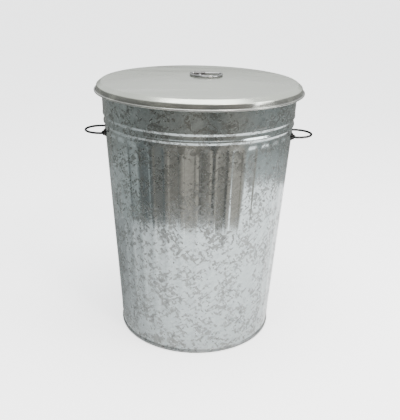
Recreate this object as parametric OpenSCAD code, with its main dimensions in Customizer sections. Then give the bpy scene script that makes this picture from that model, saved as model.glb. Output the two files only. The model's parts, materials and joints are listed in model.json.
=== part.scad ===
// Galvanised steel can with a loose lift-off lid, two wire side handles and a wire lid ring.
// Millimetres, +Z up, origin at the centre of the face it stands on, side handles along X.

/* [Can body] */
// Height of the can without its lid, to the top of the rolled rim
can_h = 624; // [500:1:760]
// Diameter of the body where it meets the rolled rim
top_d = 462; // [380:1:560]
// Diameter of the body at the floor
base_d = 382; // [310:1:460]
// Thickness of the body sheet
sheet_t = 0.8; // [0.6:0.1:1.2]
// Width of the folded seam down the back
seam_w = 9; // [6:1:14]
// How far the folded seam stands out of the body
seam_t = 0.9; // [0.5:0.1:1.5]

/* [Beads] */
// Distance of the lower bead below the rim
bead_drop = 88; // [70:1:110]
// Distance between the two beads
bead_pitch = 19; // [15:1:24]
// Width of each bead
bead_w = 13; // [8:1:15]
// How far each bead stands out
bead_h = 2.6; // [1:0.1:4]
// How far the plain band above the beads stands out at its lower edge
band_out = 1.8; // [0:0.1:3]
// Height of the small bead above the base
base_bead_z = 39; // [30:1:48]
// Width of the small bead above the base
base_bead_w = 5; // [3:0.5:7]
// How far the small bead above the base stands out
base_bead_h = 0.6; // [0.3:0.1:1.2]

/* [Flutes] */
// Number of upright flutes around the body
flutes = 40; // [24:4:56]
// Depth of a flute at its top
flute_depth = 1.1; // [0.4:0.1:2]
// Depth of a flute at its bottom
flute_depth_base = 0.6; // [0.2:0.1:1.5]
// Length over which a flute runs out at each end
flute_fade = 24; // [10:1:40]

/* [Rims] */
// Diameter of the wire rolled into the body rim
rim_wire_d = 5; // [3:0.5:7]
// Diameter of the wire rolled into the lid rim
lid_wire_d = 3; // [2:0.5:5]

/* [Base] */
// Height of the base pan above the floor
base_lift = 14; // [10:0.5:22]
// Thickness of the base pan
pan_t = 0.8; // [0.6:0.1:1.2]
// Outer corner radius of the base pan
pan_corner_r = 5; // [2:0.5:6]
// Height of the foot hoop
hoop_h = 10; // [8:0.5:14]
// How far the foot hoop stands out of the body
hoop_out = 2.5; // [1.5:0.1:4]
// Thickness of the foot hoop under the body
hoop_t = 1; // [0.8:0.1:1.5]

/* [Lid] */
// Thickness of the lid sheet
lid_t = 0.8; // [0.6:0.1:1.2]
// Radial gap between the rolled body rim and the lid skirt
lid_play = 3.7; // [2:0.1:8]
// Radial width of the sloping lid shoulder
shoulder_run = 10; // [8:0.5:16]
// Height of the sloping lid shoulder
shoulder_rise = 8; // [5:0.5:12]
// Rise of the lid from its shoulder to its flat middle
crown_h = 6; // [2:0.5:15]
// Height of the lid skirt above its rolled rim
skirt_h = 12; // [9:0.5:18]
// How far the skirt flares out over its height
skirt_flare = 2; // [0:0.5:4]

/* [Lid ring] */
// Width of the ring between wire centres
ring_w = 74; // [60:1:100]
// Straight length of each side of the ring, between its corner and the round front
ring_leg = 7; // [0:1:30]
// Diameter of the ring wire
ring_wire_d = 5.5; // [4:0.5:7]
// Bend radius of the two corners beside the hinge line
ring_bend_r = 7; // [5:0.5:9]
// Distance of the hinge line behind the lid centre
saddle_y = 40; // [20:1:60]
// Width of the saddle strap that holds the ring
saddle_w = 27; // [20:1:40]
// Thickness of the saddle strap
saddle_t = 1.5; // [1:0.1:2]
// Length of each saddle flange
saddle_flange = 14; // [11:0.5:20]

/* [Side handles] */
// Distance of the hinge line below the middle of the lower bead
handle_below_bead = 32; // [26:1:60]
// Width of the handle between wire centres
handle_w = 76; // [62:1:110]
// Straight length of each handle leg, between its corner and the round bow
handle_leg = 3; // [0:1:30]
// Diameter of the handle wire
handle_wire_d = 5.5; // [4:0.5:7]
// Bend radius where each leg turns into its hinge pin
handle_bend_r = 6; // [4:0.5:9]
// Height of the handle bracket
bracket_h = 18; // [16:1:26]
// Thickness of the handle bracket
bracket_t = 1.5; // [1:0.1:2]
// Radius of the bracket ears around the hinge pins
ear_r = 4.8; // [4.6:0.1:6]

/* [Rivets] */
// Diameter of a rivet shank
rivet_d = 4; // [3:0.5:5]
// Diameter of a rivet head
rivet_head_d = 8; // [6.5:0.5:9]
// Height of a rivet head
rivet_head_h = 2.2; // [1.5:0.1:3]
// Diameter of the washer behind each rivet
washer_d = 11; // [9:0.5:13]
// Thickness of the washer behind each rivet
washer_t = 0.8; // [0.5:0.1:1.2]

/* [Fits] */
// Radial gap between a rolled rim and the wire inside it
wire_gap = 0.1; // [0.05:0.01:0.2]
// Radial running gap around each hinge pin
pin_gap = 0.08; // [0.02:0.01:0.1]
// Gap left where a moving piece rests on another
rest_gap = 0.3; // [0.2:0.05:0.5]
// Gap left between sheets that are pressed together
seat_gap = 0.02; // [0.01:0.01:0.1]

/* [Hidden] */
$fn = 96;

// Colours
body_grey = "#b3babb";
lid_grey = "#c2c5bf";
wire_grey = "#7d8180";
bracket_grey = "#8d9190";
rivet_grey = "#9a9e9d";

// Body
top_r = top_d / 2;
base_r = base_d / 2;
taper = (top_r - base_r) / can_h;
taper_angle = atan(taper);
lower_bead_z = can_h - bead_drop;
upper_bead_z = lower_bead_z + bead_pitch;
flute_margin = [5, 4];  // plain sheet left between the flutes and the beads below and above them
flute_z0 = base_bead_z + base_bead_w / 2 + flute_margin[0];
flute_z1 = lower_bead_z - bead_w / 2 - flute_margin[1];
seam_gap = 2;           // between the seam's ends and the foot hoop or rolled rim
lip = base_lift - pan_corner_r - 2; // top of the hoop's inner lip, just under the pan's corner
wall_step = 1.5;        // spacing of the outline points across a bead

// Flute mesh: six points round each flute, tongues that key it into the plain sheet at both ends
flute_points = 6;
tongue = 2;
tongue_inset = 0.2;

// Rolled rims: inner radius, outer radius and centre of each roll
rim_in_r = rim_wire_d / 2 + wire_gap;
rim_out_r = rim_in_r + sheet_t;
rim_c = [top_r + rim_in_r, can_h - rim_out_r];
roll_turn = 335;        // degrees of sheet rolled round a wire
roll_steps = 20;
lid_roll_r = lid_wire_d / 2 + wire_gap + lid_t;

// Lid underside: the shoulder lies on the rolled body rim with rest_gap between them
shoulder_angle = atan2(shoulder_rise, shoulder_run);
seat = rim_c + (rim_out_r + rest_gap) * [sin(shoulder_angle), cos(shoulder_angle)];
crest_r = rim_c[0] + rim_out_r + lid_play;
crest_z = seat[1] - (crest_r - seat[0]) * tan(shoulder_angle);
shoulder_z = crest_z + shoulder_rise;
lid_z = shoulder_z + crown_h;
lid_top = lid_z + lid_t;
skirt_r = crest_r + skirt_flare;
lid_rim_c = [skirt_r + lid_roll_r, crest_z - skirt_h];
crest_fillet = 3;
shoulder_fillet = 6;

// Lid ring and its saddle
ring_r = ring_wire_d / 2;
ring_z = lid_top + rest_gap + ring_r;
ring_side_gap = 1;      // the ring lies pushed sideways until a corner nears the saddle
ring_shift = (ring_w - 2 * ring_bend_r - saddle_w) / 2 - ring_side_gap;
saddle_in_r = ring_r + pin_gap;
saddle_out_r = saddle_in_r + saddle_t;
saddle_rivet = saddle_out_r + saddle_flange / 2;
flat_margin = 8;
lid_flat_r = saddle_y + saddle_out_r + saddle_flange + flat_margin;

// Side handles and their brackets
handle_r = handle_wire_d / 2;
handle_z = lower_bead_z - handle_below_bead;
leg_gap = 0.8;          // between a handle corner and the ear beside it
bracket_w = handle_w - 2 * (handle_bend_r + leg_gap);
tail_bend_r = 4;
tail_gap = 1.5;         // between an ear and the bend of the tail
tail_y = bracket_w / 2 - bracket_t - tail_gap - tail_bend_r;
tail_edge = 1;          // from the end of a tail up to the lower edge of the plate it rests on
handle_tail = bracket_h / 2 - tail_bend_r - tail_edge;
handle_x = sqrt(pow(wall_r(handle_z) + bracket_t, 2) - pow(tail_y, 2)) + rest_gap + handle_r;
rivet_y = (tail_y - handle_r) / 2;
bracket_half = asin(bracket_w / 2 / (wall_r(handle_z) + bracket_t));
ear_nose = 64;          // angle at which the ear's straight edges meet its round nose
ear_low = bracket_h / 3; // reach of an ear below and above the hinge line, along the wall
ear_high = bracket_h / 2;
rivet_tail_h = 1.2;     // thickness and diameter of a rivet's formed end
rivet_tail_d = rivet_d * 1.6;
washer_seat = pow(washer_d, 2) / 8 / inner_r(handle_z) + seat_gap; // a flat washer inside the round wall

// Outer face of the plain tapered sheet at a height
function wall_r(z) = base_r + taper * z;

// Radius just inside the plain tapered sheet at a height
function inner_r(z) = wall_r(z) - sheet_t / cos(taper_angle) - seat_gap;

// A raised cosine of height h and full width w centred on z0
function bead(z, z0, w, h) = abs(z - z0) < w / 2 ? h * (1 + cos(360 * (z - z0) / w)) / 2 : 0;

// The plain band above the beads stands out and runs into the rim
function band(z) = z < upper_bead_z ? 0
    : band_out * (can_h - z) / (can_h - upper_bead_z) * min(1, 2 * (z - upper_bead_z) / bead_w);

function body_r(z) = wall_r(z) + band(z) + bead(z, base_bead_z, base_bead_w, base_bead_h)
    + bead(z, lower_bead_z, bead_w, bead_h) + bead(z, upper_bead_z, bead_w, bead_h);

function unit(v) = v / norm(v);
function left_of(v) = [-v[1], v[0]];
function arc(c, r, from, to, n) =
    [for (i = [0:n]) c + r * [cos(from + (to - from) * i / n), sin(from + (to - from) * i / n)]];

// A corner a-b-c rounded to radius r in n steps
function corner(a, b, c, r, n = 6) =
    let (u = unit(a - b), v = unit(c - b), half = acos(u * v) / 2,
         way = cross(b - a, c - b) > 0 ? 1 : -1,
         centre = b + unit(u + v) * r / sin(half), w = b + u * r / tan(half) - centre)
    [for (i = [0:n]) let (q = way * (180 - 2 * half) * i / n)
        centre + [w[0] * cos(q) - w[1] * sin(q), w[0] * sin(q) + w[1] * cos(q)]];

// Offset direction at point i of a path, mitred between its two neighbours
function miter(p, i) =
    let (last = len(p) - 1, a = left_of(unit(p[max(i, 1)] - p[max(i, 1) - 1])),
         b = left_of(unit(p[min(i, last - 1) + 1] - p[min(i, last - 1)])))
    (a + b) / (1 + a * b);

// Outline of a sheet with one face along path p and its thickness t to the left of it
function sheet(p, t) =
    concat(p, [for (i = [len(p) - 1:-1:0]) p[i] + t * miter(p, i)]);

// 1 for a flute, 0 where the sheet is left plain under a bracket
function flute_on(k) =
    let (mid = 360 * (k + 0.5) / flutes, off = min(mid % 180, 180 - mid % 180))
    off > bracket_half + 180 / flutes ? 1 : 0;

// Share of the full depth at step i round the wall
function flute_wave(i) = flute_on(floor(i / flute_points)) * (1 - cos(360 * i / flute_points)) / 2;

// One ring of the fluted wall: height z, flute depth, and an inset of the face
function flute_ring(z, depth, inset) =
    [for (i = [0:flutes * flute_points - 1]) let (a = 360 * i / (flutes * flute_points),
        r = wall_r(z) - inset - depth * flute_wave(i)) [r * cos(a), r * sin(a), z]];

module fluted_wall() {
    low = [flute_z0 - tongue, flute_z0, flute_z0 + flute_fade];
    high = [flute_z1 - flute_fade, flute_z1, flute_z1 + tongue];
    heights = concat(low, high);
    depths = [0, 0, flute_depth_base, flute_depth, 0, 0];
    insets = [tongue_inset, tongue_inset, 0, 0, tongue_inset, tongue_inset];
    n = flutes * flute_points;
    rings = len(heights);
    // rings go up the outer face, then down the inner face
    points = concat(
        [for (k = [0:rings - 1]) each flute_ring(heights[k], depths[k], insets[k])],
        [for (k = [rings - 1:-1:0]) each flute_ring(heights[k], depths[k], sheet_t - insets[k])]);
    polyhedron(points, [for (k = [0:2 * rings - 1], i = [0:n - 1])
        let (j = (i + 1) % n, up = (k + 1) % (2 * rings)) [k * n + i, up * n + i, up * n + j, k * n + j]]);
}

// Places children on the body's outer face, their +Z along the outward normal
module on_wall(z, angle) {
    rotate([0, 0, angle])
        translate([wall_r(z), 0, z])
            rotate([0, 90 + taper_angle, 0])
                children();
}

// The two rivet places of the bracket on the side with the given sign
module bracket_rivet_places(side) {
    for (dy = [-rivet_y, rivet_y])
        on_wall(handle_z, (side > 0 ? 0 : 180) + asin(dy / wall_r(handle_z)))
            children();
}

module lid_rivet_places() {
    for (dy = [-saddle_rivet, saddle_rivet])
        translate([0, saddle_y + dy, lid_top])
            children();
}

// Rivet through sheets from -back to front, its head standing on the front
module rivet(front, back) {
    ball_r = (pow(rivet_head_d / 2, 2) + pow(rivet_head_h, 2)) / (2 * rivet_head_h);
    intersection() {
        translate([0, 0, front + rivet_head_h - ball_r])
            sphere(r = ball_r);
        translate([0, 0, front])
            cylinder(d = rivet_head_d, h = rivet_head_h);
    }
    translate([0, 0, -back])
        cylinder(d = rivet_d, h = front + back);
    translate([0, 0, -back - rivet_tail_h])
        cylinder(d1 = rivet_d, d2 = rivet_tail_d, h = rivet_tail_h);
}

module rivet_hole(front, back) {
    translate([0, 0, -back])
        cylinder(d = rivet_d, h = front + back);
}

module washer() {
    difference() {
        cylinder(d = washer_d, h = washer_t);
        translate([0, 0, -washer_t])
            cylinder(d = rivet_d, h = 3 * washer_t);
    }
}

// Wire bend starting at the origin along +X and turning towards +Y
module bend(r, turn, wire_r) {
    translate([0, r, 0])
        rotate([0, 0, -90])
            rotate_extrude(angle = turn)
                translate([r, 0])
                    circle(r = wire_r, $fn = 32);
}

module straight(length, wire_r) {
    rotate([0, 90, 0])
        cylinder(r = wire_r, h = length, $fn = 32);
}

// Wire that follows steps of [straight length, bend radius, bend angle], each from the last one's end
module wire(steps, wire_r, i = 0) {
    if (i < len(steps)) {
        length = steps[i][0];
        r = steps[i][1];
        turn = steps[i][2];
        if (length > 0)
            straight(length, wire_r);
        if (turn > 0)
            translate([length, 0, 0])
                bend(r, turn, wire_r);
        translate([length + r * sin(turn), r - r * cos(turn), 0])
            rotate([0, 0, turn])
                wire(steps, wire_r, i + 1);
    }
}

module body_shell() {
    lower = [for (z = [hoop_t:wall_step:flute_z0 - wall_step / 2]) [body_r(z), z]];
    upper = [for (z = [flute_z1:wall_step:upper_bead_z + bead_w]) [body_r(z), z]];
    roll = arc(rim_c, rim_in_r, 180, 180 - roll_turn, roll_steps);
    color(body_grey)
        difference() {
            union() {
                rotate_extrude()
                    polygon(sheet(concat(lower, [[body_r(flute_z0), flute_z0]]), sheet_t));
                fluted_wall();
                rotate_extrude()
                    polygon(sheet(concat(upper, roll), sheet_t));
                body_seam();
            }
            for (side = [-1, 1])
                bracket_rivet_places(side)
                    rivet_hole(sheet_t, 2 * sheet_t);
        }
}

// Folded seam down the back, from above the foot hoop to under the rolled rim
module body_seam() {
    low = hoop_h + seam_gap;
    high = rim_c[1] - rim_out_r - seam_gap;
    rotate([0, 0, 90])
        translate([wall_r(low), 0, low])
            rotate([0, taper_angle, 0])
                translate([-sheet_t / 2, -seam_w / 2, 0])
                    cube([sheet_t / 2 + seam_t, seam_w, (high - low) / cos(taper_angle)]);
}

module rim_wire() {
    color(wire_grey)
        rotate_extrude()
            translate(rim_c)
                circle(d = rim_wire_d, $fn = 32);
}

// Raised pan whose flange stands in the foot hoop against the inside of the body
module base_pan() {
    middle = [0, base_lift];
    face = [inner_r(base_lift), base_lift];
    foot = [inner_r(hoop_t), hoop_t];
    color(body_grey)
        rotate_extrude()
            polygon(sheet(concat([middle], corner(middle, face, foot, pan_corner_r), [foot]), -pan_t));
}

// Half-round hoop with a channel that holds the foot of the body and the pan's flange
module foot_hoop() {
    pan = pan_t / cos(taper_angle) + seat_gap;
    floor_z = hoop_t - seat_gap;
    color(bracket_grey)
        rotate_extrude()
            polygon(concat(
                [[inner_r(lip) - pan, lip], [inner_r(floor_z) - pan, floor_z],
                 [wall_r(floor_z) + seat_gap, floor_z], [wall_r(hoop_h) + seat_gap, hoop_h]],
                [for (a = [75:-15:-90]) let (z = hoop_h / 2 * (1 + sin(a)))
                    [wall_r(z) + hoop_out * cos(a), z]],
                [[inner_r(0) - pan - hoop_t, 0], [inner_r(lip) - pan - hoop_t, lip]]));
}

// Pressed bracket on the +X side: a plate curved to the body with an ear folded out at each end
module bracket() {
    z0 = handle_z - bracket_h / 2;
    z1 = handle_z + bracket_h / 2;
    low = handle_z - ear_low;
    high = handle_z + ear_high;
    color(bracket_grey)
        difference() {
            union() {
                rotate([0, 0, -bracket_half])
                    rotate_extrude(angle = 2 * bracket_half)
                        polygon([[wall_r(z0), z0], [wall_r(z0) + bracket_t, z0],
                                 [wall_r(z1) + bracket_t, z1], [wall_r(z1), z1]]);
                for (side = [-1, 1])
                    translate([0, side * (bracket_w - bracket_t) / 2, 0])
                        rotate([90, 0, 0])
                            translate([0, 0, -bracket_t / 2])
                                linear_extrude(bracket_t)
                                    ear(low, high);
            }
            translate([handle_x, 0, handle_z])
                rotate([90, 0, 0])
                    cylinder(r = handle_r + pin_gap, h = handle_w, center = true);
            bracket_rivet_places(1)
                rivet_hole(2 * bracket_t, bracket_t);
        }
}

// Ear outline in X and Z, from inside the plate to a round nose about the hinge pin
module ear(low, high) {
    inset = bracket_w / 2 - bracket_t;
    foot_x = [for (z = [low, high]) sqrt(pow(wall_r(z), 2) - pow(inset, 2)) + bracket_t / 2];
    nose = ear_r * [cos(ear_nose), sin(ear_nose)];
    polygon([[foot_x[0], low], [handle_x + nose[0], handle_z - nose[1]],
             [handle_x + nose[0], handle_z + nose[1]], [foot_x[1], high]]);
    translate([handle_x, handle_z])
        circle(r = ear_r);
}

module right_bracket() { bracket(); }
module left_bracket() { rotate([0, 0, 180]) bracket(); }

module bracket_rivets(side) {
    color(rivet_grey)
        bracket_rivet_places(side)
            rivet(bracket_t, sheet_t + washer_seat + washer_t);
}
module right_bracket_rivets() { bracket_rivets(1); }
module left_bracket_rivets() { bracket_rivets(-1); }

module bracket_washers(side) {
    color(rivet_grey)
        bracket_rivet_places(side)
            translate([0, 0, -sheet_t - washer_seat - washer_t])
                washer();
}
module right_rivet_washers() { bracket_washers(1); }
module left_rivet_washers() { bracket_washers(-1); }

// Handle on the +X side: a wire loop whose ends turn in through the ears, then down as tails
module handle() {
    pin = handle_w / 2 - handle_bend_r - (tail_y + tail_bend_r);
    bow = [handle_leg, handle_w / 2, 180];
    color(wire_grey)
        translate([handle_x, 0, handle_z]) {
            translate([0, -tail_y - tail_bend_r, 0])
                rotate([0, 0, -90])
                    wire([[pin, handle_bend_r, 90], bow, [handle_leg, handle_bend_r, 90], [pin, 0, 0]],
                         handle_r);
            for (side = [0, 1])
                mirror([0, side, 0])
                    translate([0, -tail_y - tail_bend_r, 0])
                        rotate([-90, 0, 90])
                            wire([[0, tail_bend_r, 90], [handle_tail, 0, 0]], handle_r);
        }
}

module right_handle() { handle(); }
module left_handle() { rotate([0, 0, 180]) handle(); }

module lid_shell() {
    flat = [lid_flat_r, lid_z];
    shoulder = [crest_r - shoulder_run, shoulder_z];
    crest = [crest_r, crest_z];
    skirt = [skirt_r, lid_rim_c[1]];
    roll = arc(lid_rim_c, lid_roll_r, 180, 180 + roll_turn, roll_steps);
    color(lid_grey)
        difference() {
            rotate_extrude()
                polygon(sheet(concat([[0, lid_z], flat], corner(flat, shoulder, crest, shoulder_fillet),
                    corner(shoulder, crest, skirt, crest_fillet), roll), lid_t));
            lid_rivet_places()
                rivet_hole(lid_t, 2 * lid_t);
        }
}

module lid_rim_wire() {
    color(wire_grey)
        rotate_extrude()
            translate(lid_rim_c)
                circle(d = lid_wire_d, $fn = 32);
}

// Strap arched over the ring's hinge line, with a riveted flange in front and behind
module lid_saddle() {
    reach = saddle_out_r + saddle_flange;
    color(bracket_grey)
        difference() {
            translate([-saddle_w / 2, saddle_y, 0])
                rotate([90, 0, 90])
                    linear_extrude(saddle_w)
                        difference() {
                            union() {
                                translate([-reach, lid_top])
                                    square([2 * reach, saddle_t]);
                                translate([-saddle_out_r, lid_top])
                                    square([2 * saddle_out_r, ring_z - lid_top]);
                                translate([0, ring_z])
                                    circle(r = saddle_out_r);
                            }
                            translate([0, ring_z])
                                circle(r = saddle_in_r);
                            translate([-saddle_in_r, lid_top - saddle_t])
                                square([2 * saddle_in_r, ring_z - lid_top + saddle_t]);
                        }
            lid_rivet_places()
                rivet_hole(2 * saddle_t, saddle_t);
        }
}

module lid_saddle_rivets() {
    color(rivet_grey)
        lid_rivet_places()
            rivet(saddle_t, lid_t + washer_t);
}

module lid_rivet_washers() {
    color(rivet_grey)
        lid_rivet_places()
            translate([0, 0, -lid_t - washer_t])
                washer();
}

// Closed ring lying flat towards the front, its straight side in the saddle
module lid_ring() {
    hinge = ring_w - 2 * ring_bend_r;
    color(wire_grey)
        translate([ring_shift + hinge / 2, saddle_y, ring_z])
            rotate([0, 0, 180])
                wire([[hinge, ring_bend_r, 90], [ring_leg, ring_w / 2, 180], [ring_leg, ring_bend_r, 90]],
                     ring_r);
}

body_shell();
rim_wire();
base_pan();
foot_hoop();
left_bracket();
right_bracket();
left_bracket_rivets();
right_bracket_rivets();
left_rivet_washers();
right_rivet_washers();
left_handle();
right_handle();
lid_shell();
lid_rim_wire();
lid_saddle();
lid_saddle_rivets();
lid_rivet_washers();
lid_ring();
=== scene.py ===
import json
import math

import bmesh
import bpy
import numpy as np
from mathutils import Matrix, Vector


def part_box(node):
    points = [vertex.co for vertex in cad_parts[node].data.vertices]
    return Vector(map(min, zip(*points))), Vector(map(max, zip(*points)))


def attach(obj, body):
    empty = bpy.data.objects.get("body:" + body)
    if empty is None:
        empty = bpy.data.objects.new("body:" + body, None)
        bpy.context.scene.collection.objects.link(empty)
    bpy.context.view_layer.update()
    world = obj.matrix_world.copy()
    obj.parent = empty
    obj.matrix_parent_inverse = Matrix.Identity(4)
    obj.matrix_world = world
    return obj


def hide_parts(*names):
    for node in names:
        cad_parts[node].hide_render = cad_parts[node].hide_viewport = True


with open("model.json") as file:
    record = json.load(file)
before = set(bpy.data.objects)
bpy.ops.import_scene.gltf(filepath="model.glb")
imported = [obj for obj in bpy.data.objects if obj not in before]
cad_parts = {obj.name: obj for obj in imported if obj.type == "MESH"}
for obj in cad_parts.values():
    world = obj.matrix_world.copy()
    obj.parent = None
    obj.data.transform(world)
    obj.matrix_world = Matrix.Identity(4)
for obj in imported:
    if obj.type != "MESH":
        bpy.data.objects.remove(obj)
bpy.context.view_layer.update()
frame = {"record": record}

MM = 0.001
TAU = 2 * math.pi

# ---------------------------------------------------------------- sizes, in metres
# The frame's boxes and joints give a size wherever they can.

# Tapered wall, rolled round a wire at the top
BODY_LOW, BODY_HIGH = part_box("body_shell")
CAN_H = BODY_HIGH[2]
SHEET_T = 0.8 * MM
WIRE_GAP = 0.1 * MM
RIM_WIRE_R = 2.5 * MM
RIM_IN_R = RIM_WIRE_R + WIRE_GAP
RIM_OUT_R = RIM_IN_R + SHEET_T
TOP_R = BODY_HIGH[0] - RIM_IN_R - RIM_OUT_R
RIM_CENTRE = (TOP_R + RIM_IN_R, CAN_H - RIM_OUT_R)
ROLL_TURN = math.radians(335)
BASE_R = 191 * MM
TAPER = (TOP_R - BASE_R) / CAN_H

# Beads round the wall, and the band that stands out above them
BEAD_W = 13 * MM
BEAD_H = 2.6 * MM
LOWER_BEAD_Z = CAN_H - 88 * MM
UPPER_BEAD_Z = LOWER_BEAD_Z + 19 * MM
BAND_OUT = 1.8 * MM
BASE_BEAD_Z = 39 * MM
BASE_BEAD_W = 5 * MM
BASE_BEAD_H = 0.6 * MM

# Flutes. The plain land between two of them and each sloping side are shares of their pitch.
FLUTES = 40
FLUTE_DEPTH = 1.1 * MM
FLUTE_DEPTH_BASE = 0.6 * MM
FLUTE_FADE = 12 * MM
FLUTE_LAND = 0.18
FLUTE_SIDE = 0.17
FLUTE_Z0 = BASE_BEAD_Z + BASE_BEAD_W / 2 + 5 * MM
FLUTE_Z1 = LOWER_BEAD_Z - BEAD_W / 2 - 4 * MM

# Folded seam at the back, its soft sides and ends, and the wall's slow unevenness
SEAM_TURN = math.pi / 2
SEAM_W = 9 * MM
SEAM_T = 0.9 * MM
SEAM_SIDE = 0.8 * MM
SEAM_END = 2 * MM
SEAM_DROP = 10 * MM
UNEVEN_H = 0.14 * MM
UNEVEN_FADE = 60 * MM

# Raised base pan with a ring pressed into it, and the foot hoop with its weld
PAN_T = 0.8 * MM
PAN_CORNER_R = 5 * MM
PAN_RING_R = 140 * MM
PAN_RING_W = 5 * MM
PAN_RING_DEPTH = 1.5 * MM
BASE_LIFT = 14 * MM
_, HOOP_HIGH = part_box("foot_hoop")
HOOP_H = HOOP_HIGH[2]
HOOP_T = BODY_LOW[2]
HOOP_OUT = 2.5 * MM
HOOP_LIP_Z = BASE_LIFT - PAN_CORNER_R - 2 * MM
WELD_TURN = math.radians(-92.2)
WELD_W = 3 * MM
WELD_H = 0.9 * MM

# Lid: flat middle, shallow cone, shoulder, crest, flared skirt and rolled rim
LID_LOW, LID_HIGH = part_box("lid_shell")
LID_T = 0.8 * MM
LID_WIRE_R = 1.5 * MM
LID_ROLL_R = LID_WIRE_R + WIRE_GAP + LID_T
LID_Z = LID_HIGH[2] - LID_T
LID_RIM_Z = LID_LOW[2] + LID_ROLL_R
SKIRT_H = 12 * MM
SKIRT_FLARE = 2 * MM
SKIRT_R = LID_HIGH[0] - 2 * LID_ROLL_R
LID_RIM_CENTRE = (SKIRT_R + LID_ROLL_R, LID_RIM_Z)
CREST_R = SKIRT_R - SKIRT_FLARE
CREST_Z = LID_RIM_Z + SKIRT_H
CREST_FILLET = 3 * MM
SHOULDER_RUN = 10 * MM
SHOULDER_RISE = 8 * MM
SHOULDER_FILLET = 6 * MM
CONE_FILLET = 120 * MM
DENT_H = 0.22 * MM

# Lid ring, and the strap (saddle) that holds it
JOINTS = {joint["name"]: joint for joint in frame["record"]["behaviour"]["joints"]}
RING_HINGE = np.array(JOINTS["lid_ring_swing"]["pos_m"])
RING_LOW, RING_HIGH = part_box("lid_ring")
RING_R = (RING_HIGH[2] - RING_LOW[2]) / 2
RING_W = RING_HIGH[0] - RING_LOW[0] - 2 * RING_R
RING_X = (RING_HIGH[0] + RING_LOW[0]) / 2
RING_DEPTH = RING_HINGE[1] - RING_LOW[1] - RING_R
RING_BEND_R = 7 * MM
PIN_GAP = 0.08 * MM
SADDLE_LOW, SADDLE_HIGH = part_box("lid_saddle")
SADDLE_W = SADDLE_HIGH[0] - SADDLE_LOW[0]
SADDLE_T = 1.5 * MM
SADDLE_ARCH_R = RING_R + PIN_GAP + SADDLE_T / 2
SADDLE_OUT_R = SADDLE_ARCH_R + SADDLE_T / 2
SADDLE_FLANGE = 14 * MM
SADDLE_CORNER_R = 5 * MM
SADDLE_FOLD_R = 1.2 * MM
SADDLE_RIVET = SADDLE_OUT_R + SADDLE_FLANGE / 2
FLAT_MARGIN = 8 * MM
LID_FLAT_R = SADDLE_HIGH[1] + FLAT_MARGIN

# Side handles. Each end of the wire turns in at the hinge, bends down and rests on the bracket.
HANDLE_HINGE = np.array(JOINTS["right_handle_swing"]["pos_m"])
HANDLE_LOW, HANDLE_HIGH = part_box("right_handle")
HANDLE_R = 2.75 * MM
HANDLE_W = HANDLE_HIGH[1] - HANDLE_LOW[1] - 2 * HANDLE_R
HANDLE_REACH = HANDLE_HIGH[0] - HANDLE_R - HANDLE_HINGE[0]
HANDLE_BEND_R = 6 * MM
LEG_GAP = 0.8 * MM
TAIL_BEND_R = 4 * MM
TAIL_GAP = 1.5 * MM
TAIL_EDGE = 1 * MM

# Brackets: a plate on the wall with an ear at each side
BRACKET_T = 1.5 * MM
BRACKET_W = HANDLE_W - 2 * (HANDLE_BEND_R + LEG_GAP)
BRACKET_H = 18 * MM
TAIL_Y = BRACKET_W / 2 - BRACKET_T - TAIL_GAP - TAIL_BEND_R
TAIL_Z = HANDLE_HINGE[2] - BRACKET_H / 2 + TAIL_EDGE
EAR_R = 4.8 * MM
EAR_LOW = BRACKET_H / 3
EAR_HIGH = BRACKET_H / 2
EAR_BLEND = 1.5 * MM
FOLD_R = 1.6 * MM

# Rivets and washers
RIVET_Y = (TAIL_Y - HANDLE_R) / 2
RIVET_R = 2 * MM
RIVET_HEAD_R = 4 * MM
RIVET_HEAD_H = 2.2 * MM
RIVET_TAIL_R = 3.2 * MM
RIVET_TAIL_H = 1.2 * MM
RIVET_TAIL_EDGE = 0.3 * MM
WASHER_R = 5.5 * MM
WASHER_T = 0.8 * MM
WASHER_EDGE = 0.15 * MM

# Longest stretch between two points along a wire
WIRE_STEP = 3 * MM


# ---------------------------------------------------------------- curves and surfaces

def wall_r(z):
    """Radius of the plain tapered sheet's outer face: a straight line in z."""
    return BASE_R + TAPER * z


def smooth(x):
    """Cubic step from 0 to 1 as x goes from 0 to 1."""
    x = np.clip(x, 0, 1)
    return x * x * (3 - 2 * x)


def bead(z, centre, width, height):
    """Raised cosine of a given height and full width, centred on a height of the wall."""
    x = (z - centre) / width
    return np.where(np.abs(x) < 0.5, height * (1 + np.cos(TAU * x)) / 2, 0)


def body_r(z):
    """Outer radius of the body: taper, base bead, two upper beads and the band above them."""
    above = np.clip((CAN_H - z) / (CAN_H - UPPER_BEAD_Z), 0, 1)
    band = np.where(z > UPPER_BEAD_Z, BAND_OUT * above * smooth(2 * (z - UPPER_BEAD_Z) / BEAD_W), 0)
    return (wall_r(z) + band + bead(z, BASE_BEAD_Z, BASE_BEAD_W, BASE_BEAD_H)
            + bead(z, LOWER_BEAD_Z, BEAD_W, BEAD_H) + bead(z, UPPER_BEAD_Z, BEAD_W, BEAD_H))


def arc(centre, radius, start, end, steps):
    """Points of a circle from one angle to another, both ends included."""
    angle = np.linspace(start, end, steps + 1)
    return np.stack([centre[0] + radius * np.cos(angle), centre[1] + radius * np.sin(angle)], -1)


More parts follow.
